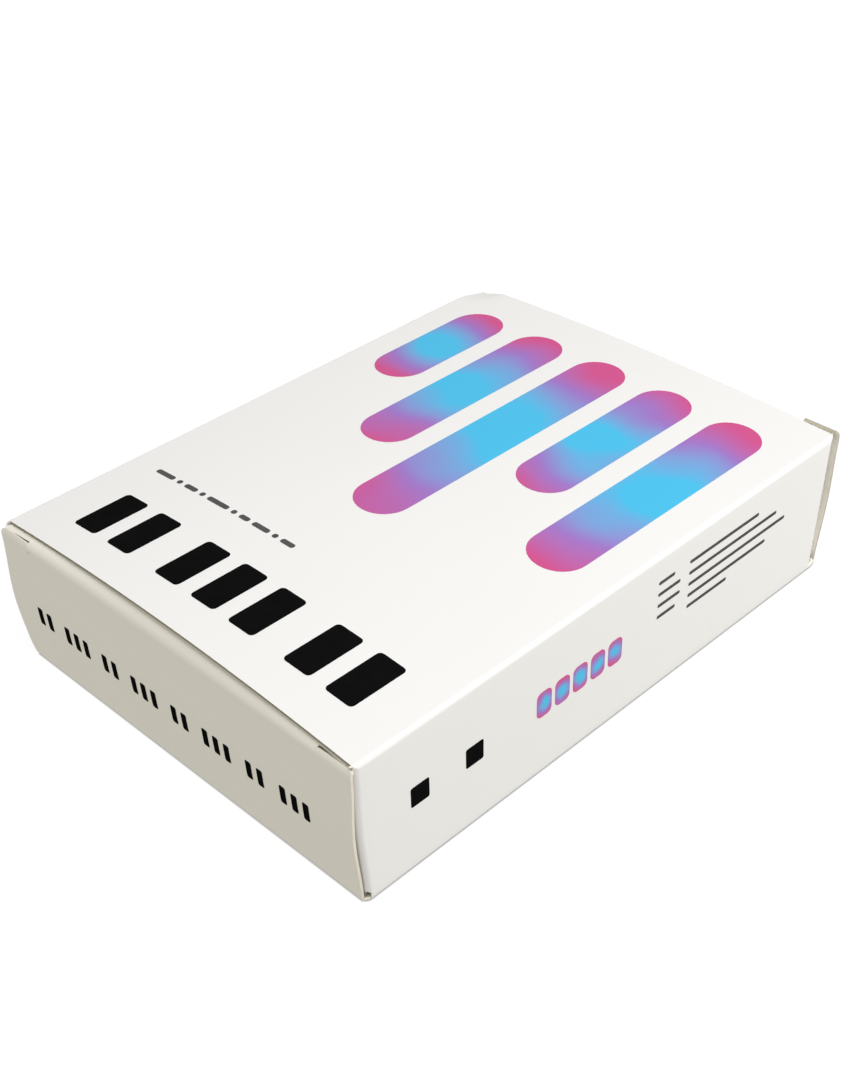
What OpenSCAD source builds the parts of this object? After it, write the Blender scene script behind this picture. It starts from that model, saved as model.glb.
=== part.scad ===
// A straight-tuck paperboard carton that lies closed on its back panel, with a kazoo in a
// card insert. Z is up, X runs across the carton and Y along it. The origin is under its middle.

/* [Carton] */
// Width of the closed carton
carton_w = 95; // [90:1:110]
// Length between the outer faces of the two closures
carton_l = 130; // [127:1:150]
// Height of the closed carton at its long creases
carton_h = 30.5; // [30:0.5:36]
// How far the front panel bows up in the middle
crown_h = 1.9; // [1.2:0.1:2.6]
// Thickness of the paperboard
board_t = 0.5; // [0.4:0.05:0.6]
// Outer radius of the long creases
crease_r = 0.9; // [0.8:0.05:1.2]
// Width of the glue flap
glue_w = 14; // [10:1:18]
// How far each end of the glue flap slants back
glue_slant = 6; // [3:1:9]

/* [Closures] */
// How far each end of the closed carton leans out, in degrees
end_lean = 2.5; // [0:0.5:4]
// Outer radius of the crease that a closure turns on
hinge_r = 0.65; // [0.65:0.05:0.9]
// How much narrower than the carton a closure is on each side
closure_inset = 0.4; // [0.2:0.1:0.8]
// How much more a closure narrows on each side towards its hinge
closure_taper = 0.6; // [0.2:0.1:1]
// Radius of the ears beside the tuck crease
ear_r = 1.2; // [0.6:0.1:2]
// How far an ear stays below the roll of the tuck crease
ear_drop = 0.3; // [0.2:0.1:0.6]
// Outer radius of the rolled tuck crease
tuck_roll_r = 1.6; // [1.4:0.1:1.8]
// Length of a tuck flap past its crease
tuck_l = 14.5; // [10:0.5:16]
// Gap between a tuck flap and each side panel
tuck_inset = 1.5; // [1.2:0.1:3]
// Gap between the tuck crease and the front panel
tuck_gap = 0.2; // [0.2:0.05:0.5]
// Radius of the free corners of a tuck flap
tuck_corner_r = 5; // [2:0.5:8]
// Length of each slit lock at the ends of the tuck crease
slit_l = 8; // [5:0.5:12]
// Width of the slit between an ear and the tuck flap
slit_gap = 0.5; // [0.4:0.05:0.8]
// How far behind a closure's face the front panel is cut
panel_setback = 1.3; // [1.2:0.1:1.6]

/* [Dust flaps] */
// Length of a dust flap
dust_l = 24; // [16:1:25]
// Outer radius of its crease
dust_roll_r = 0.8; // [0.65:0.05:1]
// Slant of its lower edge in degrees
dust_slant = 28; // [27:1:32]
// Height of its lower corner over the base
dust_low = 1.6; // [1.4:0.1:2.5]
// How far its upper corner stays below the axis of the tuck crease
dust_clear = 1.4; // [1.2:0.1:2.5]
// How far its upper edge falls from crease to tip
dust_fall = 2.4; // [2.2:0.2:4]
// Size of the cut corners at its tip
dust_chamfer = 2; // [1:0.5:4]

/* [Insert] */
// Thickness of the insert's card
card_t = 0.5; // [0.4:0.05:0.8]
// Height of the deck's top over the base
deck_z = 11; // [10.5:0.5:12]
// Gap between the insert and each side panel
insert_gap = 0.4; // [0.3:0.1:1]
// Outer radius of the insert's creases
insert_crease_r = 0.9; // [0.8:0.05:1.2]
// Gap between the kazoo and the edge of its cut-out
cutout_gap = 0.4; // [0.3:0.1:0.8]
// Radius of the finger notch beside the kazoo
notch_r = 9; // [7:0.5:11]
// Gap between the leaflet and the kazoo, and between it and the deck's edge
leaflet_gap = 1.9; // [1:0.1:4]
// Length of the folded leaflet
leaflet_l = 92; // [70:1:110]
// Thickness of the folded leaflet
leaflet_t = 0.6; // [0.3:0.1:1.2]
// Number of spare membranes
spare_n = 3; // [1:1:5]

/* [Kazoo] */
// Length of deck left in front of the kazoo and behind it
kazoo_end = 5; // [3:0.5:9]
// Width of its body without the seam lip
kazoo_w = 33; // [30:1:36]
// Height of its body
kazoo_h = 17; // [15:0.5:18]
// Wall of the two shells
shell_t = 1; // [0.8:0.1:1.4]
// Width of the seam lip
lip_w = 1.4; // [1.2:0.1:2]
// Thickness of each shell's seam lip
lip_t = 0.6; // [0.4:0.1:1]
// Diameter of the turret
turret_d = 24; // [21:1:26]
// Height of the turret over the crest of the body
turret_h = 4.5; // [4:0.1:5]
// Wall of the turret beside the membrane
turret_wall = 1.6; // [1.2:0.1:2.4]
// Width of the ledge that carries the membrane
ledge_w = 1.9; // [1.4:0.1:2.6]
// Thickness of a membrane
membrane_t = 0.15; // [0.1:0.05:0.3]
// Thickness of the gasket over the membrane
gasket_t = 1; // [0.6:0.1:1.4]
// Radial wall of the screw cap
cap_wall = 1.2; // [1:0.1:1.6]
// Thickness of the screw cap's top
cap_top_t = 1.1; // [0.8:0.1:1.4]
// Diameter of the hole in the screw cap
cap_hole_d = 13; // [10:0.5:15]
// Radius of each groove of the screw cap's knurl
knurl_r = 0.5; // [0.3:0.05:0.6]
// Number of grooves of the knurl
knurl_n = 24; // [16:1:30]

/* [Hidden] */
$fn = 96;
arc_fn = 1440;   // facets of a full circle where only a shallow arc of it is used
over = 1;        // overrun of every cut
fit_gap = 0.3;   // gap between pieces that move past each other
crease_gap = 0.05;   // gap inside a crease that turns
seat_gap = 0.1;  // radial gap of a piece that drops into its seat

half_w = carton_w / 2;
half_l = carton_l / 2;
side_in = half_w - board_t;
panel_z = carton_h - board_t;

crown_half = half_w - crease_r;
crown_r = (crown_half * crown_half + crown_h * crown_h) / (2 * crown_h);
crown_z = carton_h + crown_h - crown_r;

// The pieces of an end are laid out upright from the outer face of its closure, then leaned
closure_half = half_w - closure_inset;
roll_y = tuck_roll_r;
roll_z = panel_z - tuck_gap - tuck_roll_r;
tuck_arc_r = norm([roll_y - hinge_r, roll_z - hinge_r]) + tuck_roll_r;
tuck_lean = atan2(roll_y - hinge_r, roll_z - hinge_r);
tuck_sweep = tuck_l / tuck_arc_r * 180 / PI;
tuck_half = side_in - tuck_inset;
tuck_tip_y = hinge_r + tuck_arc_r * sin(tuck_lean + tuck_sweep);
ear_z = roll_z + tuck_roll_r - ear_drop;
ear_in = closure_half - slit_l;
shoulder_y = board_t + slit_gap;
// How far in from the carton's end the axis of the closure lies
hinge_in = hinge_r * cos(end_lean) + (ear_z - hinge_r) * sin(end_lean);

dust_x = half_w - dust_roll_r;
dust_y = board_t + fit_gap + dust_roll_r;
dust_top = roll_z - dust_clear;
dust_rise = dust_l * tan(dust_slant);

insert_half = side_in - insert_gap;
insert_half_l = half_l - hinge_in - (dust_y - hinge_r) - dust_roll_r - fit_gap;
deck_half = insert_half - insert_crease_r;

kazoo_l = 2 * (insert_half_l - kazoo_end);
seam_z = deck_z + lip_t;
body_half = kazoo_w / 2;
body_rise = kazoo_h / 2;
crest_z = seam_z + body_rise;
turret_r = turret_d / 2;
turret_top = crest_z + turret_h;
turret_reach = turret_r / (body_half - shell_t);
turret_sink = body_rise - (body_rise - shell_t) * sqrt(1 - turret_reach * turret_reach) + fit_gap;
seat_r = turret_r - turret_wall;
membrane_z = turret_top - membrane_t - gasket_t + seat_gap;
cap_in = turret_r + fit_gap;
cap_out = cap_in + cap_wall;
cap_under = membrane_z + membrane_t + gasket_t + crease_gap;
skirt_low = crest_z + 2 * fit_gap;

station_n = 24;      // stations along the kazoo
arc_n = 16;          // steps of each half section
// Half width and half height of the body at seven even stations from mouth to tail
width_shares = [0.80, 0.89, 0.97, 1.00, 0.88, 0.62, 0.46];
height_shares = [0.55, 0.74, 0.92, 1.00, 0.95, 0.82, 0.74];
notch_share = 0.66;  // where the finger notch lies along the kazoo
spare_share = 0.3;   // where the spare membranes lie along the kazoo
fan_share = 0.12;    // how far each spare membrane is fanned out

function blend_share(p, q, r, s, t) =
    (2 * q + (r - p) * t + (2 * p - 5 * q + 4 * r - s) * t * t
    + (3 * q - p - 3 * r + s) * t * t * t) / 2;
function share_at(shares, along) =
    let (n = len(shares) - 1, i = min(floor(along * n), n - 1))
    blend_share(shares[max(i - 1, 0)], shares[i], shares[i + 1], shares[min(i + 2, n)],
        along * n - i);
function body_half_at(along) = body_half * share_at(width_shares, along);
function body_rise_at(along) = body_rise * share_at(height_shares, along);
function along_y_at(along) = (along - 1 / 2) * kazoo_l;

// One closed section of a shell, from the seam lip over the crest and back inside
function shell_section(along) =
    let (a = body_half_at(along), b = body_rise_at(along), low = asin(lip_t / b))
    concat(
        [[a + lip_w, 0], [a + lip_w, lip_t]],
        [for (i = [0 : arc_n]) let (t = low + (180 - 2 * low) * i / arc_n) [a * cos(t), b * sin(t)]],
        [[-a - lip_w, lip_t], [-a - lip_w, 0]],
        [for (i = [arc_n : -1 : 0]) let (t = 180 * i / arc_n)
            [(a - shell_t) * cos(t), (b - shell_t) * sin(t)]]
    );

// Profile in Y and Z, run along X about the middle
module along_x(length) {
    rotate([90, 0, 90]) linear_extrude(length, center = true) children();
}

// Profile in X and Z, run along Y about the middle
module along_y(length) {
    rotate([90, 0, 0]) linear_extrude(length, center = true) children();
}

// Leans a piece of the near end, whose Y starts at the closure's outer face, out about the hinge
module near_end() {
    translate([0, -half_l + hinge_in, hinge_r]) rotate([end_lean, 0, 0])
        translate([0, -hinge_r, -hinge_r]) children();
}

module far_end() {
    mirror([0, 1, 0]) near_end() children();
}

// Quarter ring of a crease in the corner where X and Y are both positive
module crease_ring(radius, thickness) {
    intersection() {
        difference() {
            circle(r = radius);
            circle(r = radius - thickness);
        }
        square(radius);
    }
}

module front_panel() {
    color("whitesmoke") along_y(carton_l - 2 * panel_setback)
    intersection() {
        translate([0, crown_z]) difference() {
            circle(r = crown_r, $fn = arc_fn);
            circle(r = crown_r - board_t, $fn = arc_fn);
        }
        translate([-crown_half, panel_z - board_t]) square([2 * crown_half, crown_h + 2 * board_t + over]);
    }
}

// Cut for the crease bead at the back panel's near end
module hinge_socket() {
    along_x(carton_w + 2 * over) translate([-half_l, 0]) {
        translate([hinge_in, hinge_r]) circle(r = hinge_r + crease_gap);
        translate([-over, -over]) square([hinge_in + over, 2 * hinge_r + over]);
    }
}

module back_panel() {
    color("whitesmoke") difference() {
        translate([-half_w, -half_l, 0]) cube([carton_w - crease_r, carton_l, board_t]);
        hinge_socket();
        mirror([0, 1, 0]) hinge_socket();
    }
}

// Cut that shapes a side panel's end: a leaning edge, with a socket for the dust flap's bead
module side_end() {
    translate([-half_w - over, -half_l, -over])
        cube([carton_w + 2 * over, half_l + panel_setback, carton_h + 2 * over]);
    translate([dust_x, dust_y, dust_low - fit_gap]) {
        cylinder(r = dust_roll_r + crease_gap, h = dust_top - dust_low + 2 * fit_gap);
        translate([-dust_roll_r - over, -dust_y - over, 0])
            cube([2 * (dust_roll_r + over), dust_y + over, dust_top - dust_low + 2 * fit_gap]);
    }
}

// Side panel at the right, with the crease that joins it to the front panel
module side_panel(low) {
    difference() {
        union() {
            translate([side_in, -half_l, low]) cube([board_t, carton_l, carton_h - crease_r - low]);
            along_y(carton_l) translate([half_w - crease_r, carton_h - crease_r])
                crease_ring(crease_r, board_t);
            if (low == crease_r) along_y(carton_l) translate([half_w - crease_r, crease_r])
                mirror([0, 1]) crease_ring(crease_r, board_t);
        }
        near_end() side_end();
        far_end() side_end();
    }
}

module right_side_panel() {
    color("gainsboro") side_panel(crease_r);
}

module left_side_panel() {
    color("gainsboro") mirror([1, 0, 0]) side_panel(board_t + crease_r);
}

// Flap of the left side panel, glued on the inside of the back panel
module glue_flap() {
    flap_half_l = half_l - hinge_in - hinge_r - crease_gap;
    color("tan") {
        translate([0, 0, board_t]) linear_extrude(board_t) polygon([
            [-half_w + crease_r, -flap_half_l], [-half_w + glue_w, -flap_half_l + glue_slant],
            [-half_w + glue_w, flap_half_l - glue_slant], [-half_w + crease_r, flap_half_l]
        ]);
        along_y(2 * flap_half_l) translate([-half_w + crease_r, board_t + crease_r])
            mirror([1, 0]) mirror([0, 1]) crease_ring(crease_r, board_t);
    }
}

// Closure with its ears, up to the line where the tuck crease rolls
module closure() {
    top = roll_z - crease_gap;
    bottom_half = closure_half - closure_taper;
    translate([0, board_t, 0]) rotate([90, 0, 0]) linear_extrude(board_t) {
        polygon([
            [-bottom_half, hinge_r], [bottom_half, hinge_r], [closure_half, top],
            [closure_half, ear_z - ear_r], [ear_in, ear_z - ear_r], [ear_in, top],
            [-ear_in, top], [-ear_in, ear_z - ear_r], [-closure_half, ear_z - ear_r], [-closure_half, top]
        ]);
        for (side = [0, 1]) mirror([side, 0]) {
            translate([ear_in, top]) square([slit_l - ear_r, ear_z - top]);
            translate([ear_in, top]) square([slit_l, ear_z - ear_r - top]);
            translate([closure_half - ear_r, ear_z - ear_r]) circle(r = ear_r);
        }
    }
    translate([-bottom_half, hinge_r, hinge_r]) rotate([0, 90, 0])
        cylinder(r = hinge_r, h = 2 * bottom_half);
}

// Section of the tuck flap: the roll of the crease, then a shell that bends round the hinge
module tuck_section() {
    translate([roll_y, roll_z]) intersection() {
        difference() {
            circle(r = tuck_roll_r);
            circle(r = tuck_roll_r - board_t);
        }
        translate([-tuck_roll_r, 0]) square([tuck_roll_r + tuck_roll_r * sin(tuck_lean), tuck_roll_r]);
    }
    reach = tuck_arc_r + over;
    translate([hinge_r, hinge_r]) intersection() {
        difference() {
            circle(r = tuck_arc_r, $fn = arc_fn);
            circle(r = tuck_arc_r - board_t, $fn = arc_fn);
        }
        polygon([
            [0, 0], [reach * sin(tuck_lean), reach * cos(tuck_lean)],
            [reach * sin(tuck_lean + tuck_sweep), reach * cos(tuck_lean)],
            [reach * sin(tuck_lean + tuck_sweep), reach * cos(tuck_lean + tuck_sweep)]
        ]);
    }
}

// Plan of the tuck flap: narrow in the roll, full width behind the slits, round at its free corners
module tuck_plan() {
    translate([-ear_in + slit_gap, -over]) square([2 * (ear_in - slit_gap), shoulder_y + 2 * over]);
    translate([-tuck_half, shoulder_y]) square([2 * tuck_half, tuck_tip_y - tuck_corner_r - shoulder_y]);
    translate([-tuck_half + tuck_corner_r, shoulder_y])
        square([2 * (tuck_half - tuck_corner_r), tuck_tip_y - shoulder_y]);
    for (side = [-1, 1])
        translate([side * (tuck_half - tuck_corner_r), tuck_tip_y - tuck_corner_r])
            circle(r = tuck_corner_r);
}

module tuck_flap() {
    intersection() {
        along_x(2 * tuck_half) tuck_section();
        linear_extrude(carton_h) tuck_plan();
    }
}

// Dust flap at the right, hinged on the side panel's end
module dust_flap() {
    tip_low = dust_low + dust_rise;
    tip_top = dust_top - dust_fall;
    intersection() {
        translate([dust_x, dust_y, dust_low]) linear_extrude(dust_top - dust_low) {
            circle(r = dust_roll_r);
            translate([-dust_l, -dust_roll_r]) square([dust_l, board_t]);
        }
        translate([dust_x, dust_y + dust_roll_r + over, 0]) rotate([90, 0, 0])
            linear_extrude(2 * (dust_roll_r + over)) polygon([
                [dust_roll_r + over, dust_low - over], [0, dust_low - over], [0, dust_low],
                [-dust_l + dust_chamfer, tip_low], [-dust_l, tip_low + dust_chamfer],
                [-dust_l, tip_top - dust_chamfer], [-dust_l + dust_chamfer, tip_top],
                [0, dust_top], [0, dust_top + over], [dust_roll_r + over, dust_top + over]
            ]);
    }
}

module near_closure_panel() { color("antiquewhite") near_end() closure(); }
module far_closure_panel() { color("antiquewhite") far_end() closure(); }
module near_tuck_flap() { color("linen") near_end() tuck_flap(); }
module far_tuck_flap() { color("linen") far_end() tuck_flap(); }
module near_right_dust_flap() { color("wheat") near_end() dust_flap(); }
module near_left_dust_flap() { color("wheat") mirror([1, 0, 0]) near_end() dust_flap(); }
module far_right_dust_flap() { color("wheat") far_end() dust_flap(); }
module far_left_dust_flap() { color("wheat") mirror([1, 0, 0]) far_end() dust_flap(); }

// Outline of the kazoo's body in plan, grown by a gap
module body_outline(gap) {
    side = [for (i = [0 : station_n]) [body_half_at(i / station_n) + gap, along_y_at(i / station_n)]];
    ends = [
        [body_half_at(0) + gap, -kazoo_l / 2 - gap], [body_half_at(1) + gap, kazoo_l / 2 + gap]
    ];
    right = concat([ends[0]], side, [ends[1]]);
    polygon(concat(right, [for (i = [len(right) - 1 : -1 : 0]) [-right[i][0], right[i][1]]]));
}

module insert_deck() {
    color("lightgray") translate([0, 0, deck_z - card_t]) linear_extrude(card_t) difference() {
        translate([-deck_half, -insert_half_l]) square([2 * deck_half, 2 * insert_half_l]);
        body_outline(cutout_gap);
        translate([-body_half_at(notch_share), along_y_at(notch_share)]) circle(r = notch_r);
    }
}

// Leg at the right, creased down from the deck onto the carton's floor
module insert_leg(floor_z) {
    leg_top = deck_z - insert_crease_r;
    translate([insert_half - card_t, -insert_half_l, floor_z])
        cube([card_t, 2 * insert_half_l, leg_top - floor_z]);
    along_y(2 * insert_half_l) translate([insert_half - insert_crease_r, leg_top])
        crease_ring(insert_crease_r, card_t);
}

module insert_right_leg() { color("silver") insert_leg(board_t); }
module insert_left_leg() { color("silver") mirror([1, 0, 0]) insert_leg(2 * board_t); }

module leaflet() {
    start_x = body_half + lip_w + leaflet_gap;
    color("ivory") translate([start_x, -leaflet_l / 2, deck_z])
        cube([deck_half - leaflet_gap - start_x, leaflet_l, leaflet_t]);
}

module spare_membranes() {
    spare_r = seat_r - seat_gap;
    middle_x = -(body_half + lip_w + deck_half) / 2;
    color("lightcyan") for (i = [0 : spare_n - 1])
        translate([middle_x + (i - (spare_n - 1) / 2) * fan_share * spare_r,
            along_y_at(spare_share) + i * fan_share * spare_r,
            deck_z + i * (membrane_t + crease_gap)])
            cylinder(r = spare_r, h = membrane_t);
}

// Upper half of the kazoo's body, about its seam, in triangles from section to section
module half_shell() {
    sections = [for (i = [0 : station_n]) shell_section(i / station_n)];
    n = len(sections[0]);
    last = station_n * n;
    points = [for (i = [0 : station_n]) for (p = sections[i]) [p[0], along_y_at(i / station_n), p[1]]];
    sides = [for (i = [0 : station_n - 1]) for (j = [0 : n - 1]) let (k = (j + 1) % n)
        each [[i * n + j, i * n + k, (i + 1) * n + k], [i * n + j, (i + 1) * n + k, (i + 1) * n + j]]];
    // Pairs of a point on the inner arc and the facing point outside, for the two end faces
    inner = [for (i = [0 : arc_n]) n - 1 - i];
    outer = [for (i = [0 : arc_n]) i + 2];
    ends = [for (i = [0 : arc_n - 1])
        each [[outer[i], inner[i], inner[i + 1]], [outer[i], inner[i + 1], outer[i + 1]]]];
    lips = [
        [0, inner[0], 1], [1, inner[0], outer[0]],
        [n - arc_n - 2, n - arc_n - 3, inner[arc_n]], [inner[arc_n], n - arc_n - 3, outer[arc_n]]
    ];
    near_faces = concat(ends, lips);
    far_faces = [for (f = near_faces) [f[0] + last, f[2] + last, f[1] + last]];
    polyhedron(points, concat(sides, near_faces, far_faces));
}

module kazoo_upper_shell() {
    color("orchid") translate([0, 0, seam_z]) difference() {
        half_shell();
        cylinder(r = turret_r + crease_gap, h = body_rise + over);
    }
}

module kazoo_lower_shell() {
    color("mediumturquoise") translate([0, 0, seam_z]) mirror([0, 0, 1]) half_shell();
}

module kazoo_turret() {
    color("plum") difference() {
        translate([0, 0, crest_z - turret_sink]) cylinder(r = turret_r, h = turret_sink + turret_h);
        translate([0, 0, crest_z - turret_sink - over])
            cylinder(r = seat_r - ledge_w, h = turret_sink + turret_h + 2 * over);
        translate([0, 0, membrane_z]) cylinder(r = seat_r, h = turret_top - membrane_z + over);
    }
}

module kazoo_membrane() {
    color("azure") translate([0, 0, membrane_z]) cylinder(r = seat_r - seat_gap, h = membrane_t);
}

module kazoo_gasket() {
    color("dimgray") translate([0, 0, membrane_z + membrane_t]) difference() {
        cylinder(r = seat_r - seat_gap, h = gasket_t);
        translate([0, 0, -over]) cylinder(r = seat_r - ledge_w, h = gasket_t + 2 * over);
    }
}

module kazoo_screw_cap() {
    color("deepskyblue") difference() {
        translate([0, 0, skirt_low]) cylinder(r = cap_out, h = cap_under + cap_top_t - skirt_low);
        translate([0, 0, skirt_low - over]) cylinder(r = cap_in, h = cap_under - skirt_low + over);
        translate([0, 0, cap_under - over]) cylinder(d = cap_hole_d, h = cap_top_t + 2 * over);
        for (i = [0 : knurl_n - 1]) rotate([0, 0, i * 360 / knurl_n])
            translate([cap_out, 0, skirt_low - over])
                cylinder(r = knurl_r, h = cap_under - skirt_low + over);
    }
}

front_panel();
back_panel();
left_side_panel();
right_side_panel();
glue_flap();
near_closure_panel();
near_tuck_flap();
near_left_dust_flap();
near_right_dust_flap();
far_closure_panel();
far_tuck_flap();
far_left_dust_flap();
far_right_dust_flap();
insert_deck();
insert_left_leg();
insert_right_leg();
leaflet();
spare_membranes();
kazoo_upper_shell();
kazoo_lower_shell();
kazoo_turret();
kazoo_membrane();
kazoo_gasket();
kazoo_screw_cap();
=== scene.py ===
import bmesh
import bpy
import math
from mathutils import Matrix, Vector


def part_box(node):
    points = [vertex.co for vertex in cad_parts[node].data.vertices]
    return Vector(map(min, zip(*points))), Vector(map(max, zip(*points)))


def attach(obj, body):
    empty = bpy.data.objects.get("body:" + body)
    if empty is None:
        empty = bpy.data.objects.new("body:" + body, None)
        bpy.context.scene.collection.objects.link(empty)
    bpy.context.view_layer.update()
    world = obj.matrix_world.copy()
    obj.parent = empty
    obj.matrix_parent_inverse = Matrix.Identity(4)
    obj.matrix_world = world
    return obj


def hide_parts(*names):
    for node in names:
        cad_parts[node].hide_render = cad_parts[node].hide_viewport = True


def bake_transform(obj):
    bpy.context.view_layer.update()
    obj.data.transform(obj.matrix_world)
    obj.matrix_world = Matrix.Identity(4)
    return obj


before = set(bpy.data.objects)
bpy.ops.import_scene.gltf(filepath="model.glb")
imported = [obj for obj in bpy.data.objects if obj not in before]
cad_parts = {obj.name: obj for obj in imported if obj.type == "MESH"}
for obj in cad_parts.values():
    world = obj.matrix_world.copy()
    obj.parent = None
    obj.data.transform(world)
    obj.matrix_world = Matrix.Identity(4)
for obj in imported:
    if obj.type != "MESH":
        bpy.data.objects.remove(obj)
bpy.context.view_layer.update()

# Camera. It stands where the photograph was taken, above the near right
# corner of the carton, with the carton's near end and right side in view.
photo_height_px = 1080
focal_px = 1654.373
sensor_mm = 36
nearest_seen = 0.005
farthest_seen = 30
camera_place = Vector((0.186664, -0.183079, 0.203214))
look_right = Vector((0.707525, 0.706266, -0.024420))
look_down = Vector((0.397494, -0.426298, -0.812569))
look_ahead = Vector((-0.584301, 0.565206, -0.582353))

camera_data = bpy.data.cameras.new("camera")
camera_data.sensor_fit = "VERTICAL"
camera_data.sensor_height = sensor_mm
camera_data.sensor_width = sensor_mm
camera_data.lens = focal_px / photo_height_px * sensor_mm
camera_data.clip_start = nearest_seen
camera_data.clip_end = farthest_seen
camera = bpy.data.objects.new("camera", camera_data)
turn = Matrix((look_right, -look_down, -look_ahead)).transposed()
camera.matrix_world = Matrix.Translation(camera_place) @ turn.to_4x4()
bpy.context.scene.collection.objects.link(camera)
bpy.context.scene.camera = camera
bpy.context.scene.view_settings.view_transform = "Standard"

# Studio light. One broad soft lamp hangs high on the right, a small one lifts
# the far part of the right side, and the room fills in warm and pale from all
# round, so the near end lies in soft shade.
room_colour = (1.0, 0.975, 0.94, 1)
room_strength = 0.47
lamp_aim = Vector((0, 0, 0.015))
lamp_direction = Vector((0.40, 0.0, 0.92)).normalized()
lamp_distance = 0.9
lamp_size = 0.6
lamp_watts = 5.65
side_lamp_aim = Vector((0.0475, 0.05, 0.015))
side_lamp_direction = Vector((0.28, 0.22, 0.09)).normalized()
side_lamp_distance = 0.37
side_lamp_size = 0.14
side_lamp_watts = 0.4

world = bpy.data.worlds.new("studio_room")
bpy.context.scene.world = world
world.use_nodes = True
room = world.node_tree.nodes["Background"]
room.inputs["Color"].default_value = room_colour
room.inputs["Strength"].default_value = room_strength
backdrop = world.node_tree.nodes.new("ShaderNodeBackground")
backdrop.inputs["Color"].default_value = (1, 1, 1, 1)
backdrop.inputs["Strength"].default_value = 1
room_mix = world.node_tree.nodes.new("ShaderNodeMixShader")
room_rays = world.node_tree.nodes.new("ShaderNodeLightPath")
room_links = world.node_tree.links
room_links.new(room_rays.outputs["Is Camera Ray"], room_mix.inputs["Fac"])
room_links.new(room.outputs["Background"], room_mix.inputs[1])
room_links.new(backdrop.outputs["Background"], room_mix.inputs[2])
world_out = world.node_tree.nodes["World Output"]
room_links.new(room_mix.outputs["Shader"], world_out.inputs["Surface"])


def add_lamp(name, aim, direction, distance, size, watts):
    """A square soft lamp that looks at aim from a direction."""
    data = bpy.data.lights.new(name, "AREA")
    data.energy = watts
    data.shape = "SQUARE"
    data.size = size
    lamp = bpy.data.objects.new(name, data)
    lamp.rotation_euler = direction.to_track_quat("Z", "Y").to_euler()
    lamp.location = aim + direction * distance
    bpy.context.scene.collection.objects.link(lamp)


add_lamp("soft_lamp", lamp_aim, lamp_direction, lamp_distance, lamp_size, lamp_watts)
add_lamp(
    "side_lamp", side_lamp_aim, side_lamp_direction,
    side_lamp_distance, side_lamp_size, side_lamp_watts)

# Floor. A bright white sheet under the carton, which glows and throws an even light on
# the sides, and keeps a faint shadow and a thin painted shadow line where they touch.
floor_half = 4.0
floor_below = 0.00006
floor_bounce = (0.68, 0.665, 0.615, 1)
floor_seen = (0.97, 0.97, 0.97, 1)
floor_glow = 1.04
floor_glow_share = 0.9
contact_reach = 0.0004

floor_form = bmesh.new()
bmesh.ops.create_grid(floor_form, x_segments=2, y_segments=2, size=floor_half)
bmesh.ops.translate(floor_form, vec=(0, 0, -floor_below), verts=floor_form.verts)
floor_mesh = bpy.data.meshes.new("floor")
floor_form.to_mesh(floor_mesh)
floor_form.free()
floor = bpy.data.objects.new("floor", floor_mesh)
bpy.context.scene.collection.objects.link(floor)
floor_paper = bpy.data.materials.new("floor_paper")
floor_paper.use_nodes = True
nodes = floor_paper.node_tree.nodes
links = floor_paper.node_tree.links
nodes.clear()
bounced = nodes.new("ShaderNodeEmission")
bounced.inputs["Color"].default_value = floor_bounce
seen = nodes.new("ShaderNodeBsdfDiffuse")
seen.inputs["Color"].default_value = floor_seen
glow = nodes.new("ShaderNodeEmission")
glow.inputs["Strength"].default_value = floor_glow
# Ambient occlusion darkens the floor's glow close to the carton: a painted contact shadow.
contact = nodes.new("ShaderNodeAmbientOcclusion")
contact.inputs["Distance"].default_value = contact_reach
seen_mix = nodes.new("ShaderNodeMixShader")
seen_mix.inputs["Fac"].default_value = floor_glow_share
ray_mix = nodes.new("ShaderNodeMixShader")
rays = nodes.new("ShaderNodeLightPath")
floor_out = nodes.new("ShaderNodeOutputMaterial")
links.new(contact.outputs["Color"], glow.inputs["Color"])
links.new(seen.outputs["BSDF"], seen_mix.inputs[1])
links.new(glow.outputs["Emission"], seen_mix.inputs[2])
links.new(rays.outputs["Is Camera Ray"], ray_mix.inputs["Fac"])
links.new(bounced.outputs["Emission"], ray_mix.inputs[1])
links.new(seen_mix.outputs["Shader"], ray_mix.inputs[2])
links.new(ray_mix.outputs["Shader"], floor_out.inputs["Surface"])
floor_mesh.materials.append(floor_paper)

# Front panel. The printed top of the sleeve, white clay-coated board half a
# millimetre thick, bowed up by what it holds, with its far left corner
# pressed down. Its four edges are the die cuts and the two long creases.
mm = 0.001
board_t = 0.5
panel_half_w = 46.6
panel_top_z = 30.5
panel_far_y = 63.7
panel_near_right_y = -64.25
panel_near_left_y = -63.15
crown_near = 1.95
crown_far = 1.4
dent_depth = 1.43
dent_reach = 7
dent_low_z = 16
coat_white = (0.87, 0.868, 0.862)
coat_shade = (0.845, 0.842, 0.832)
# The board's cream inside, made lighter as painted light so that the shaded crevices at the ends do not
# go dark.
inside_cream_painted_light = (0.88, 0.85, 0.78)
inside_cream_painted_light_dark = (0.84, 0.805, 0.72)
edge_cream = (0.84, 0.80, 0.69)
edge_shade = (0.74, 0.69, 0.57)
# Dark olive for the front panel's raw edges: the board's grey-brown core, darkened as painted shade for
# the shadowed gap under the panel's near edge.
front_edge_painted_olive = (0.34, 0.31, 0.23)
front_edge_painted_olive_dark = (0.27, 0.245, 0.18)
patch_detail = 4
grain_detail = 5
gloss_swing = 0.06
relief_strength = 0.5
cut_tolerance = 1e-5
soft_angle = math.radians(30)


def smooth_share(value, low, high):
    """0 below low, 1 above high, and a smooth rise between them."""
    share = min(max((value - low) / (high - low), 0), 1)
    return share * share * (3 - 2 * share)


def crown_at(y):
    """How far the front panel bows up along its middle line."""
    share = (y + panel_far_y) / (2 * panel_far_y)
    return crown_near + (crown_far - crown_near) * share


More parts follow.
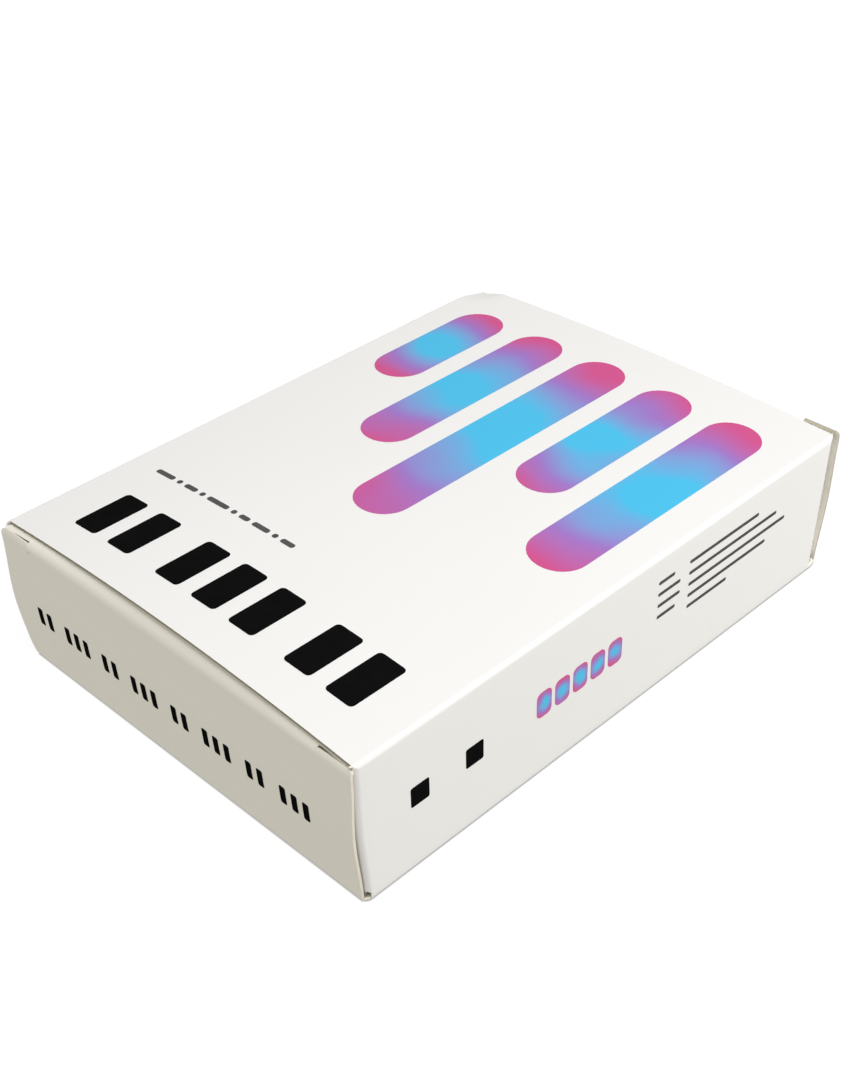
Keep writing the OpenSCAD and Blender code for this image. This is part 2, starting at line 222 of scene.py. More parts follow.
def dent_at(x, y, z):
    """How far a point near the far left corner is pressed down."""
    away = math.hypot(x + panel_half_w, y - panel_far_y)
    return dent_depth * (1 - smooth_share(away, 0, dent_reach)) * smooth_share(z, dent_low_z, panel_top_z)


def front_z(x, y):
    """The height of the front panel's printed face."""
    rise = crown_at(y) * (1 - (x / panel_half_w) ** 2)
    return panel_top_z + rise - dent_at(x, y, panel_top_z)


def finish(name, colour, shade, patch, rough, grain, grain_depth, **fixed):
    """A paper, board, lacquer, metal or rubber finish.

    It has two tones in soft patches, a fine grain, and a roughness that
    follows the grain. Lengths are in metres, and fixed sets shader sockets.
    """
    material = bpy.data.materials.new(name)
    material.use_nodes = True
    nodes = material.node_tree.nodes
    links = material.node_tree.links
    shader = nodes["Principled BSDF"]
    place = nodes.new("ShaderNodeTexCoord")
    patches = nodes.new("ShaderNodeTexNoise")
    patches.inputs["Scale"].default_value = 1 / patch
    patches.inputs["Detail"].default_value = patch_detail
    tone = nodes.new("ShaderNodeMix")
    tone.data_type = "RGBA"
    tone.inputs["A"].default_value = (*colour, 1)
    tone.inputs["B"].default_value = (*shade, 1)
    fine = nodes.new("ShaderNodeTexNoise")
    fine.inputs["Scale"].default_value = 1 / grain
    fine.inputs["Detail"].default_value = grain_detail
    gloss = nodes.new("ShaderNodeMapRange")
    gloss.inputs["To Min"].default_value = rough - gloss_swing
    gloss.inputs["To Max"].default_value = rough + gloss_swing
    relief = nodes.new("ShaderNodeBump")
    relief.inputs["Distance"].default_value = grain_depth
    relief.inputs["Strength"].default_value = relief_strength
    links.new(place.outputs["Object"], patches.inputs["Vector"])
    links.new(place.outputs["Object"], fine.inputs["Vector"])
    links.new(patches.outputs["Fac"], tone.inputs["Factor"])
    links.new(tone.outputs["Result"], shader.inputs["Base Color"])
    links.new(fine.outputs["Fac"], gloss.inputs["Value"])
    links.new(gloss.outputs["Result"], shader.inputs["Roughness"])
    links.new(fine.outputs["Fac"], relief.inputs["Height"])
    links.new(relief.outputs["Normal"], shader.inputs["Normal"])
    for socket, value in fixed.items():
        shader.inputs[socket.replace("_", " ")].default_value = value
    return material


def card(outline, thickness, across=(), along=()):
    """A flat die-cut piece of board, below its printed face.

    The outline is in mm, and across and along are where it is cut so that it
    can bend. Its faces are printed face 0, inside face 1 and raw edges 2.
    """
    form = bmesh.new()
    form.faces.new([form.verts.new((a, b, 0)) for a, b in outline])
    lines = [(Vector((value, 0, 0)), Vector((1, 0, 0))) for value in across]
    lines += [(Vector((0, value, 0)), Vector((0, 1, 0))) for value in along]
    for point, normal in lines:
        whole = form.verts[:] + form.edges[:] + form.faces[:]
        bmesh.ops.bisect_plane(
            form, geom=whole, dist=cut_tolerance, plane_co=point, plane_no=normal)
    grown = bmesh.ops.extrude_face_region(form, geom=form.faces[:])["geom"]
    below = [part for part in grown if isinstance(part, bmesh.types.BMVert)]
    bmesh.ops.translate(form, vec=(0, 0, -thickness), verts=below)
    half_way = -thickness / 2
    for face in form.faces:
        heights = [vert.co.z for vert in face.verts]
        if min(heights) > half_way:
            face.material_index = 0
        elif max(heights) < half_way:
            face.material_index = 1
        else:
            face.material_index = 2
    return form


def steps(start, end, count):
    """The places inside a stretch that cut it into count equal lengths."""
    return [start + (end - start) * step / count for step in range(1, count)]


def piece(form, name, materials, body, shape):
    """Folds a form with shape, turns it from mm to metres and names it.

    It rides on a body named by a string. A tuple's bodies are not used, and the piece stays where it is
    placed.
    """
    for vert in form.verts:
        vert.co = shape(*vert.co)
    bmesh.ops.scale(form, vec=(mm, mm, mm), verts=form.verts)
    bmesh.ops.recalc_face_normals(form, faces=form.faces)
    mesh = bpy.data.meshes.new(name)
    form.to_mesh(mesh)
    form.free()
    mesh.shade_smooth()
    mesh.set_sharp_from_angle(angle=soft_angle)
    for material in materials:
        mesh.materials.append(material)
    made = bpy.data.objects.new(name, mesh)
    bpy.context.scene.collection.objects.link(made)
    if isinstance(body, str):
        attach(made, body)
    else:
        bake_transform(made)
    return made


def front_shape(x, y, under):
    return x, y, front_z(x, y) + under


board_coat = finish(
    "board_coat", coat_white, coat_shade, patch=0.045, rough=0.42,
    grain=0.0011, grain_depth=0.00001, Specular_IOR_Level=0.35)
board_inside = finish(
    "board_inside", inside_cream_painted_light, inside_cream_painted_light_dark, patch=0.004, rough=0.85,
    grain=0.0004, grain_depth=0.00003)
board_edge = finish(
    "board_edge", edge_cream, edge_shade, patch=0.0015, rough=0.9,
    grain=0.0002, grain_depth=0.00003)
board = [board_coat, board_inside, board_edge]
# The front panel's raw edges: grey-brown board core, darkened with painted shade for the shadow under its
# near edge.
front_edge_painted_shade = finish(
    "front_edge_painted_shade", front_edge_painted_olive, front_edge_painted_olive_dark, patch=0.0015, rough=0.9,
    grain=0.0002, grain_depth=0.00003)
panel_outline = [
    (-panel_half_w, panel_near_left_y),
    (panel_half_w, panel_near_right_y),
    (panel_half_w, panel_far_y),
    (-panel_half_w, panel_far_y),
]
panel_across = steps(-panel_half_w, panel_half_w, 44)
panel_along = steps(panel_near_right_y, panel_far_y, 56)
front = piece(
    card(panel_outline, board_t, panel_across, panel_along),
    "printed_front_panel", [board_coat, board_inside, front_edge_painted_shade],
    "carton", front_shape)
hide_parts("front_panel")

# Side panels. Each side of the sleeve runs from its bottom crease up to the
# round crease at the front panel, in the same board. At both ends it turns in
# through the crease that carries a dust flap, a quarter round of the board.
crease_r = 0.9
end_lean = math.radians(2.5)
hinge_r = 0.65
hinge_y = -63.0922
dust_axis_y = 1.6
dust_r = 0.8
dust_plane_y = dust_axis_y - dust_r
dust_bow = 0.45
near_turn_r = 1.0
far_turn_low_r = 3.8
far_turn_high_r = 2.3
glue_crease_z = 1.4
roll_steps = 20
notch_in_run = 1.9
notch_open_run = 1.3
notch_start_level = 0.4
notch_in_level = 0.55
notch_out_level = 1.03
notch_end_level = 1.05


def end_place(x, y, z):
    """A point of the near end's own frame, which leans out about the closure's hinge."""
    back = y - hinge_r
    up = z - hinge_r
    return (
        x,
        hinge_y + back * math.cos(end_lean) - up * math.sin(end_lean),
        hinge_r + back * math.sin(end_lean) + up * math.cos(end_lean),
    )


def side_section(level, y, low_z):
    """A point of the side's outer face, and its outward direction.

    Level 0 to 1 is the bottom crease, 1 to 2 the flat, and 2 to 3 the round
    crease at the top.
    """
    slope = math.atan(2 * crown_at(y) / panel_half_w)
    sweep = math.pi / 2 - slope
    roll_r = crease_r / (1 - math.cos(sweep))
    roll_z = panel_top_z - roll_r * math.sin(sweep)
    outer_x = panel_half_w + crease_r
    if level < 1:
        angle = (level - 1) * math.pi / 2
        out = (math.cos(angle), math.sin(angle))
        return panel_half_w + crease_r * out[0], crease_r + crease_r * out[1], out
    if level <= 2:
        return outer_x, low_z + (roll_z - low_z) * (level - 1), (1, 0)
    angle = (level - 2) * sweep
    out = (math.cos(angle), math.sin(angle))
    return outer_x - roll_r + roll_r * out[0], roll_z + roll_r * out[1], out


def dust_bow_at(z):
    """How far the near dust creases bow out with the closure in front of them."""
    share = min(max((z - hinge_r) / (panel_top_z - hinge_r), 0), 1)
    return dust_bow * math.sin(math.pi * share) ** 2


def side_end(level, near, panel_end):
    """How far the side reaches at one level, and the radius it turns in with there."""
    z = crease_r + (panel_top_z - crease_r) * min(max(level - 1, 0), 1)
    reach = abs(end_place(0, dust_plane_y - (dust_bow_at(z) if near else 0), z)[1])
    reach += (abs(panel_end) - reach) * smooth_share(level, 2, 3)
    turn_r = near_turn_r
    if not near:
        turn_r = far_turn_low_r + (far_turn_high_r - far_turn_low_r) * z / panel_top_z
    turn_r *= smooth_share(level, 0, 1) * (1 - smooth_share(level, 2, 3))
    return reach, turn_r


def side_shape(side, low_z, near_panel_end):
    """The fold of a side, which runs from -1 to 1 between its two turned-in ends."""
    def shape(level, run, under):
        near_reach, near_turn = side_end(level, True, near_panel_end)
        far_reach, far_turn = side_end(level, False, panel_far_y)
        near_y = near_turn - near_reach
        far_y = far_reach - far_turn
        y = near_y + (far_y - near_y) * (min(max(run, -1), 1) + 1) / 2
        x, z, out = side_section(level, y, low_z)
        turn_r = near_turn if run < 0 else far_turn
        angle = max(abs(run) - 1, 0) * math.pi / 2
        inward = turn_r - (turn_r + under) * math.cos(angle)
        x -= out[0] * inward
        z -= out[1] * inward
        y += math.copysign((turn_r + under) * math.sin(angle), run)
        if side < 0:
            z -= dent_at(-x, y, z)
        return side * x, y, z
    return shape


def side_outline(lowest):
    """The side's blank with its turned-in ends.

    The right side, which starts at level 0, has a small open notch low down
    at each end.
    """
    if lowest < 1:
        low_near = [
            (0, -notch_in_run),
            (notch_start_level, -notch_in_run),
            (notch_in_level, -notch_open_run),
            (notch_out_level, -notch_open_run),
            (notch_end_level, -2),
        ]
    else:
        low_near = [(lowest, -2)]
    low_far = [(level, -run) for level, run in reversed(low_near)]
    return low_near + [(3, -2), (3, 2)] + low_far


side_along = steps(-1, 1, 56) + steps(1, 2, 8) + steps(-2, -1, 8)
side_along += [-1, 1]
upper_levels = steps(1, 2, 14) + [2] + steps(2, 3, roll_steps)
right_side = piece(
    card(side_outline(0), board_t, steps(0, 1, 8) + [1] + upper_levels, side_along),
    "printed_right_side_panel", board, "carton",
    side_shape(1, crease_r, panel_near_right_y))
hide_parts("right_side_panel")
left_side = piece(
    card(side_outline(1), board_t, upper_levels, side_along),
    "printed_left_side_panel", board, "carton",
    side_shape(-1, glue_crease_z, panel_near_left_y))
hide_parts("left_side_panel")

# Back panel and glue flap. The flat the carton lies on, and the strip under
# its left edge that closes the sleeve with glue. Both are the sleeve's board.
for name in ("back_panel", "glue_flap"):
    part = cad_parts[name]
    part.data.materials.clear()
    part.data.materials.append(board_coat)

# Closure panels. Each end closes with a panel that turns on a bead-like crease
# at the back panel. Slits free its two ears from the tuck flap, and its side
# edges are raw cuts. The far one is pressed in at its upper left corner.
closure_foot_half = 46.5
closure_top_half = 47.1
closure_bow = 0.65
roll_start_z = 28.2
ear_top_run = {"near": 29.9, "far": 30.6}
ear_in_x = 39.1
ear_corner_r = 0.6
ear_turn_r = {1: 2.6, -1: 3.4}
far_ear_turn_r = 4.5
worn_foot_half = 45.2
worn_side = [(45.3, 0.3), (45.8, 1.0), (46.4, 2.0), (46.85, 3.6), (47.2, 7)]
worn_side += [(47.42, 12), (47.5, 17), (47.48, 24)]
worn_top_half = 47.42
worn_corner_r = 1.3
slit_corner_r = 0.4
slit_notch = 0.3
slit_notch_z = {1: 28.6, -1: 27.9}
roll_r = 1.6
roll_run = 2.568
roll_crown_share = 0.85
roll_height = roll_start_z - hinge_r
tongue_under = 0.02
tongue_length = 0.56
bead_sweep = math.radians(118)
closure_low = hinge_r - hinge_r * bead_sweep
far_stand = math.radians(2.3)
pressed_in = 0.9
pressed_down = 2.5
pressed_w = 8
pressed_low_z = 14
pressed_high_z = 30
# The closures and tuck flaps are the sleeve's white board, tinted a warmer cream as painted shade for the
# warm shade over the ends.
end_painted_warm_white = (0.885, 0.865, 0.785)
end_painted_warm_white_dark = (0.865, 0.842, 0.758)
# The far end's raw edges are a darker cream than the near end's: painted shade for the shaded strip along
# the far ears.
far_edge_painted_cream = (0.53, 0.485, 0.385)
far_edge_painted_cream_dark = (0.45, 0.405, 0.32)


def corner(middle, radius, start_deg, end_deg, count):
    """The points of a rounded corner."""
    turn = (end_deg - start_deg) / count
    angles = [math.radians(start_deg + turn * step) for step in range(count + 1)]
    return [
        (middle[0] + radius * math.cos(angle), middle[1] + radius * math.sin(angle))
        for angle in angles
    ]


def mirrored(half):
    """A whole outline from its right half, listed from the bottom up."""
    return half + [(-a, b) for a, b in reversed(half)]


def roll_r_at(x, near):
    """The radius of the rolled crease, which follows the bow of the front panel over it."""
    crown = crown_near if near else crown_far
    return roll_r + roll_crown_share * crown * (1 - (x / panel_half_w) ** 2)


def roll_place(x, run, under, near):
    """A point of the rolled crease, run mm along it from the top of the closure."""
    radius = roll_r_at(x, near)
    lean = math.atan((radius - hinge_r) / roll_height)
    angle = run / roll_run * (math.pi / 2 + lean)
    reach = radius + under
    return x, radius - reach * math.cos(angle), roll_start_z + reach * math.sin(angle)


def bow_at(z):
    """How far a closure bows out at one height."""
    share = min(max((z - hinge_r) / roll_height, 0), 1)
    return closure_bow * math.sin(math.pi * share) ** 2


def closure_bend(x, z, under, near):
    """The fold of a closure: bead at its foot, bowed panel, and roll or ear at its top."""
    if z < hinge_r:
        angle = (hinge_r - z) / hinge_r
        reach = hinge_r + under
        return x, hinge_r - reach * math.cos(angle), hinge_r - reach * math.sin(angle)
    if z <= roll_start_z:
        return x, -under - bow_at(z), z
    if abs(x) < ear_in_x - slit_notch / 2:
        return roll_place(x, z - roll_start_z, under - tongue_under, near)
    turn_r = ear_turn_r[1 if x > 0 else -1] if near else far_ear_turn_r
    angle = (z - roll_start_z) / turn_r
    reach = turn_r + under
    return x, turn_r - reach * math.cos(angle), roll_start_z + reach * math.sin(angle)


def at_end(bend, near):
    """The place of a closure or tuck flap in the carton.

    The far end is the near one mirrored. It stands a little open and is
    pressed in and down at its upper left corner.
    """
    stand = 0 if near else far_stand

    def shape(a, b, under):
        x, y, z = bend(a, b, under, near)
        back = y - hinge_r
        up = z - hinge_r
        y = hinge_r + back * math.cos(stand) - up * math.sin(stand)
        z = hinge_r + back * math.sin(stand) + up * math.cos(stand)
        x, y, z = end_place(x, y, z)
        if near:
            return x, y, z
        pressed = math.exp(-((x + panel_half_w) / pressed_w) ** 2)
        pressed *= smooth_share(z, pressed_low_z, pressed_high_z)
        return x, -y - pressed_in * pressed, z - pressed_down * pressed
    return shape


def ear_outline(side_x, top, corner_r, notch_z):
    """The outline of an ear, over its top and down its slit to the start of the roll."""
    points = corner((side_x - corner_r, top - corner_r), corner_r, 0, 90, 6)
    points += corner((ear_in_x + slit_corner_r, top - slit_corner_r), slit_corner_r, 90, 180, 4)
    points += [(ear_in_x, notch_z), (ear_in_x - slit_notch, notch_z)]
    points += [(ear_in_x - slit_notch, roll_start_z + tongue_length)]
    return points


def closure_outline(near, top):
    """The closure's blank. The near one's left edge is worn round towards its foot."""
    right = [(closure_foot_half, closure_low), (closure_foot_half, hinge_r)]
    right += ear_outline(closure_top_half, top, ear_corner_r, slit_notch_z[1])
    if not near:
        return mirrored(right)
    left = [(worn_foot_half, closure_low)] + worn_side
    left += ear_outline(worn_top_half, top, worn_corner_r, slit_notch_z[-1])
    return right + [(-a, b) for a, b in reversed(left)]


closure_across = steps(-closure_top_half, closure_top_half, 32)
closure_levels = steps(closure_low, hinge_r, 12) + [hinge_r]
closure_levels += steps(hinge_r, roll_start_z, 24) + [roll_start_z]
closure_levels += steps(roll_start_z, ear_top_run["near"], 8)
# The ends' coat: the sleeve's white board with a painted warm shade tint.
end_coat_painted_warm = finish(
    "end_coat_painted_warm", end_painted_warm_white, end_painted_warm_white_dark, patch=0.03, rough=0.45,
    grain=0.0011, grain_depth=0.00001, Specular_IOR_Level=0.35)
# Raw edges of the far closure and far tuck flap, darkened with painted shade.
far_edge_painted_shade = finish(
    "far_edge_painted_shade", far_edge_painted_cream, far_edge_painted_cream_dark, patch=0.0015, rough=0.9,
    grain=0.0002, grain_depth=0.00003)
end_board = {
    "near": [end_coat_painted_warm, board_inside, board_edge],
    "far": [end_coat_painted_warm, board_inside, far_edge_painted_shade],
}
for end in ("near", "far"):
    near = end == "near"
    closure = piece(
        card(closure_outline(near, ear_top_run[end]), board_t, closure_across, closure_levels),
        end + "_closure_board", end_board[end], end + "_closure",
        at_end(closure_bend, near))
    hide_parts(end + "_closure_panel")

# Tuck flaps. Each closure's flap rolls over a round crease and slides in
# under the front panel, where its spring holds the end shut. Past the slits
# it widens to the full inner width, and its free corners are rounded.
tuck_r = 29.17
tuck_sweep = math.radians(28.5)
tuck_roll_half = 39.07
tuck_wide_half = {"near": 46.6, "far": 45.9}
tuck_in_half = 45.9
tuck_corner_r = 5
shoulder_run = 1.56
shoulder_cut = 0.2
shoulder_corner_x = 0.3
shoulder_corner_run = 0.4
tuck_end = roll_run + tuck_r * tuck_sweep


def tuck_bend(x, run, under, near):
    """The fold of a tuck flap, run mm along it from the top of the closure."""
    if run < roll_run:
        return roll_place(x, run, under, near)
    radius = roll_r_at(x, near)
    angle = math.atan((radius - hinge_r) / roll_height) + (run - roll_run) / tuck_r
    reach = math.hypot(radius - hinge_r, roll_height) + radius + under
    return x, hinge_r + reach * math.sin(angle), hinge_r + reach * math.cos(angle)


def tuck_outline(wide_half):
    """The tuck flap's blank, which is wide_half wide at its shoulders."""
    half = [(tuck_roll_half, 0), (tuck_roll_half, shoulder_run - shoulder_cut)]
    half += [(tuck_roll_half + shoulder_cut, shoulder_run)]
    half += [(wide_half - shoulder_corner_x, shoulder_run)]
    half += [(wide_half, shoulder_run + shoulder_corner_run)]
    half += corner((tuck_in_half - tuck_corner_r, tuck_end - tuck_corner_r), tuck_corner_r, 0, 90, 10)
    return mirrored(half)


tuck_across = steps(-tuck_in_half, tuck_in_half, 32)
tuck_runs = steps(0, roll_run, 18) + [roll_run] + steps(roll_run, tuck_end, 14)
for end in ("near", "far"):
    tuck = piece(
        card(tuck_outline(tuck_wide_half[end]), board_t, tuck_across, tuck_runs),
        end + "_tuck_board", end_board[end], end + "_tuck",
        at_end(tuck_bend, end == "near"))
    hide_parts(end + "_tuck_flap")

# Dust flaps. Two board flaps fold in behind each closure from the side panels
# and keep the contents off the opening. They are cut back above and below.
# The far ones, whose creases show, ride on no body and stay where they are placed.
dust_axis_x = 46.7
dust_reach = 24
dust_low_z = 1.6
dust_high_z = 26.8
dust_slant = math.tan(math.radians(28))
dust_fall = 2.4
dust_corner = 2.2
dust_neck = 2.5
dust_tip_cut = 0.7
dust_foot_cut = 0.6
dust_foot_lift = 0.5
dust_foot_short = 1.5
dust_tip_x = dust_axis_x - dust_reach
dust_tip_high = dust_high_z - dust_fall
dust_tip_low = dust_low_z + (dust_reach - dust_foot_short) * dust_slant
dust_root_x = {"near": 46.7, "far": 44.9}
dust_bend_w = 3


def dust_outline(root_x):
    """A dust flap's blank, from its root over its cut-back tip."""
    return [
        (root_x, dust_low_z),
        (root_x, dust_high_z),
        (dust_axis_x - dust_neck, dust_high_z),
        (dust_tip_x + dust_corner, dust_tip_high),
        (dust_tip_x + dust_tip_cut, dust_tip_high - dust_tip_cut),
        (dust_tip_x, dust_tip_high - dust_corner),
        (dust_tip_x, dust_tip_low + dust_corner),
        (dust_tip_x + dust_tip_cut, dust_tip_low + dust_foot_cut),
        (dust_tip_x + dust_corner, dust_tip_low - dust_corner * dust_slant + dust_foot_lift),
        (dust_axis_x - dust_neck, dust_low_z),
    ]


def dust_shape(side, near):
    """The place of a dust flap, which stands with the sleeve and not with the closure."""
    def shape(x, z, under):
        y = dust_plane_y - under - (dust_bow_at(z) if near else 0)
        x, y, z = end_place(side * x, y, z)
        return (x, y, z) if near else (x, -y, z)
    return shape


dust_across = steps(dust_tip_x, dust_axis_x, 30)
dust_levels = steps(dust_low_z, dust_high_z, 16)
for end in ("near", "far"):
    for side_name, side in (("left", -1), ("right", 1)):
        dust_name = end + "_" + side_name + "_dust"
        dust_body = dust_name
        if end == "far":
            bend_y = -hinge_y * mm
            bend_z = panel_top_z / 2 * mm
            start = (side * dust_root_x[end] * mm, bend_y, bend_z)
            end_point = (side * (dust_root_x[end] - dust_bend_w) * mm, bend_y, bend_z)
            dust_body = ("carton", dust_name, start, end_point)
        dust = piece(
            card(dust_outline(dust_root_x[end]), board_t, dust_across, dust_levels),
            dust_name + "_board", board, dust_body,
            dust_shape(side, end == "near"))
        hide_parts(dust_name + "_flap")

# Front print. Flat ink on the front panel: five round-ended bars that fade
# from pink to blue and back, seven black key bars and a line of grey dashes.
ink_t = 0.02
ink_lift = 0.012
pink = (0.62, 0.075, 0.26)
lilac = (0.33, 0.17, 0.56)
blue = (0.055, 0.51, 0.82)
black = (0.004, 0.004, 0.0045)
black_shade = (0.007, 0.007, 0.0075)
grey = (0.07, 0.07, 0.072)
grey_shade = (0.11, 0.11, 0.11)
fade_rough = 0.4
fade_gloss = 0.35
fade_drift_detail = 1
fade_drift_share = 0.34
fade_reach_share = 0.56
blue_end_share = 0.22
lilac_share = 0.56
pink_start_share = 0.86


def ink(name, colour, shade):
    """A flat matt ink of one colour."""
    return finish(
        name, colour, shade, patch=0.003, rough=0.6,
        grain=0.0009, grain_depth=0.000005, Specular_IOR_Level=0.0)


def fading_ink(name, along, length, softness):
    """Ink that is pink at both ends of a stroke and blue in its middle.

    Lilac lies between, and the edges of the colours are soft and uneven.
    """
    material = bpy.data.materials.new(name)
    material.use_nodes = True
    nodes = material.node_tree.nodes
    links = material.node_tree.links
    shader = nodes["Principled BSDF"]
    shader.inputs["Roughness"].default_value = fade_rough
    shader.inputs["Specular IOR Level"].default_value = fade_gloss
    place = nodes.new("ShaderNodeTexCoord")
    centred = nodes.new("ShaderNodeMapping")
    drift_reach = length * fade_drift_share * mm
    centred.inputs["Location"].default_value = [-value * mm - drift_reach / 2 for value in along]
    drift = nodes.new("ShaderNodeTexNoise")
    drift.inputs["Scale"].default_value = 1 / (softness * mm)
    drift.inputs["Detail"].default_value = fade_drift_detail
    offset = nodes.new("ShaderNodeVectorMath")
    offset.operation = "MULTIPLY_ADD"
    offset.inputs[1].default_value = (drift_reach,) * 3
    distance = nodes.new("ShaderNodeVectorMath")
    distance.operation = "LENGTH"
    share = nodes.new("ShaderNodeMapRange")
    share.inputs["From Min"].default_value = 0
    share.inputs["From Max"].default_value = length * fade_reach_share * mm
    fade = nodes.new("ShaderNodeValToRGB")
    fade.color_ramp.elements[0].position = blue_end_share
    fade.color_ramp.elements[0].color = (*blue, 1)
    fade.color_ramp.elements[1].position = pink_start_share
    fade.color_ramp.elements[1].color = (*pink, 1)
    middle = fade.color_ramp.elements.new(lilac_share)
    middle.color = (*lilac, 1)
    links.new(place.outputs["Object"], centred.inputs["Vector"])
    links.new(place.outputs["Object"], drift.inputs["Vector"])
    links.new(drift.outputs["Color"], offset.inputs[0])
    links.new(centred.outputs["Vector"], offset.inputs[2])
    links.new(offset.outputs["Vector"], distance.inputs[0])
    links.new(distance.outputs["Value"], share.inputs["Value"])
    links.new(share.outputs["Result"], fade.inputs["Fac"])
    links.new(fade.outputs["Color"], shader.inputs["Base Color"])
    return material


def round_bar(middle, width, length, radius, count=8):
    """The outline of a bar with rounded corners, from its middle."""
    a = width / 2 - radius
    b = length / 2 - radius
    points = []
    for sx, sy, start in ((1, 1, 0), (-1, 1, 90), (-1, -1, 180), (1, -1, 270)):
        points += corner((middle[0] + sx * a, middle[1] + sy * b), radius, start, start + 90, count)
    return points


def join(outlines, along=()):
    """Several flat outlines of ink as one form."""
    stroke_mesh = bpy.data.meshes.new("ink_stroke")
    whole = bmesh.new()
    for outline in outlines:
        stroke = card(outline, ink_t, (), along)
        stroke.to_mesh(stroke_mesh)
        stroke.free()
        whole.from_mesh(stroke_mesh)
    bpy.data.meshes.remove(stroke_mesh)
    return whole


def print_on_front(x, y, under):
    return x, y, front_z(x, y) + ink_lift + ink_t + under


bar_w = 12
bar_r = 5.9
bar_far_y = 54
bar_softness = 22
bar_lengths = [(-34, 34), (-17, 54), (0, 72), (17, 46), (34, 62)]
for index, (x, length) in enumerate(bar_lengths, 1):
    y = bar_far_y - length / 2
    bar_ink = fading_ink("fading_ink_%d" % index, (x, y, panel_top_z), length, bar_softness)
    bar_across = steps(x - bar_w / 2, x + bar_w / 2, 5)
    bar_along = steps(y - length / 2, y + length / 2, 14)
    piece(
        card(round_bar((x, y), bar_w, length, bar_r), ink_t, bar_across, bar_along),
        "front_print_bar_%d" % index, [bar_ink] * 3, "carton", print_on_front)

black_ink = ink("black_ink", black, black_shade)
grey_ink = ink("grey_ink", grey, grey_shade)
key_w = 6.4
key_length = 12.6
key_r = 0.9
key_y = -49.6
key_places = [-33.5, -23.5, -9.5, 0.5, 10.5, 24.5, 34.5]
key_along = steps(key_y - key_length / 2, key_y + key_length / 2, 6)
for index, x in enumerate(key_places, 1):
    key_across = steps(x - key_w / 2, x + key_w / 2, 4)
    piece(
        card(round_bar((x, key_y), key_w, key_length, key_r, 4), ink_t, key_across, key_along),
        "front_print_key_%d" % index, [black_ink] * 3, "carton", print_on_front)

dash_y = -34.4
dash_h = 1.2
dash_r = 0.5
dash_gap = 1.1
dash_lengths = [5.2, 1.2, 3.4, 1.2, 5.8, 1.2, 2.6, 4.4, 1.2, 3.4]
dash_x = -39.5
dashes = []
for length in dash_lengths:
    dashes.append(round_bar((dash_x + length / 2, dash_y), length, dash_h, dash_r, 3))
    dash_x += length + dash_gap
piece(join(dashes), "front_print_dashes", [grey_ink] * 3, "carton", print_on_front)

# Near end print. One row of small black key bars along the closure's middle,
# in the same flat ink, cut into short strips that follow the closure's bow.
row_z = 13.6
row_bar_w = 1.5
row_bar_h = 4.0
row_bar_r = 0.35
row_pitch = 2.85
row_groups = [2, 3, 2, 3, 2, 3, 2, 3]
row_levels = steps(row_z - row_bar_h / 2, row_z + row_bar_h / 2, 8)
row_x = -38.5
row_bars = []
for group in row_groups:
    for _ in range(group):
        row_bars.append(round_bar((row_x, row_z), row_bar_w, row_bar_h, row_bar_r, 3))
        row_x += row_pitch
    row_x += row_pitch


def print_on_closure(x, z, under):
    return end_place(x, -bow_at(z) - ink_lift - ink_t - under, z)


piece(
    join(row_bars, row_levels),
    "near_print_row", [black_ink] * 3, "near_closure", print_on_closure)

# Right side print. Two small black squares, a short row of fading squares and
# a block of thin grey rules with short labels before them, in the same ink.
square_w = 4.2
square_r = 0.4
square_places = [(-50.9, 16.0), (-38.2, 15.8)]
tile_count = 5
tile_start = -21.0
tile_pitch = 4.7
tile_w = 3.8
tile_h = 5.6
tile_r = 1.2
tile_z = 15.9
tile_fade = 6
tile_softness = 3
rule_lengths = [21, 27, 30, 24, 12]
rule_labels = [4.6, 6.4, 6.4, 5.2, 0]
rule_high_z = 24.4
rule_pitch = 2.55
rule_start = 9.5
rule_column = 18.5
rule_h = 0.75
rule_r = 0.3


def print_on_side(y, z, under):
    return panel_half_w + crease_r + ink_lift + ink_t + under, y, z


squares = [round_bar(place, square_w, square_w, square_r, 3) for place in square_places]
piece(join(squares), "side_print_squares", [black_ink] * 3, "carton", print_on_side)
for index in range(tile_count):
    y = tile_start + tile_pitch * index
    tile_middle = (panel_half_w + crease_r, y, tile_z)
    tile_ink = fading_ink("fading_tile_%d" % (index + 1), tile_middle, tile_fade, tile_softness)
    piece(
        join([round_bar((y, tile_z), tile_w, tile_h, tile_r, 5)]),
        "side_print_tile_%d" % (index + 1), [tile_ink] * 3, "carton", print_on_side)
rules = []
for index, (length, label) in enumerate(zip(rule_lengths, rule_labels)):
    z = rule_high_z - rule_pitch * index
    rules.append(round_bar((rule_column + length / 2, z), length, rule_h, rule_r, 3))
    if label:
        rules.append(round_bar((rule_start + label / 2, z), label, rule_h, rule_r, 3))
piece(join(rules), "side_print_rules", [grey_ink] * 3, "carton", print_on_side)

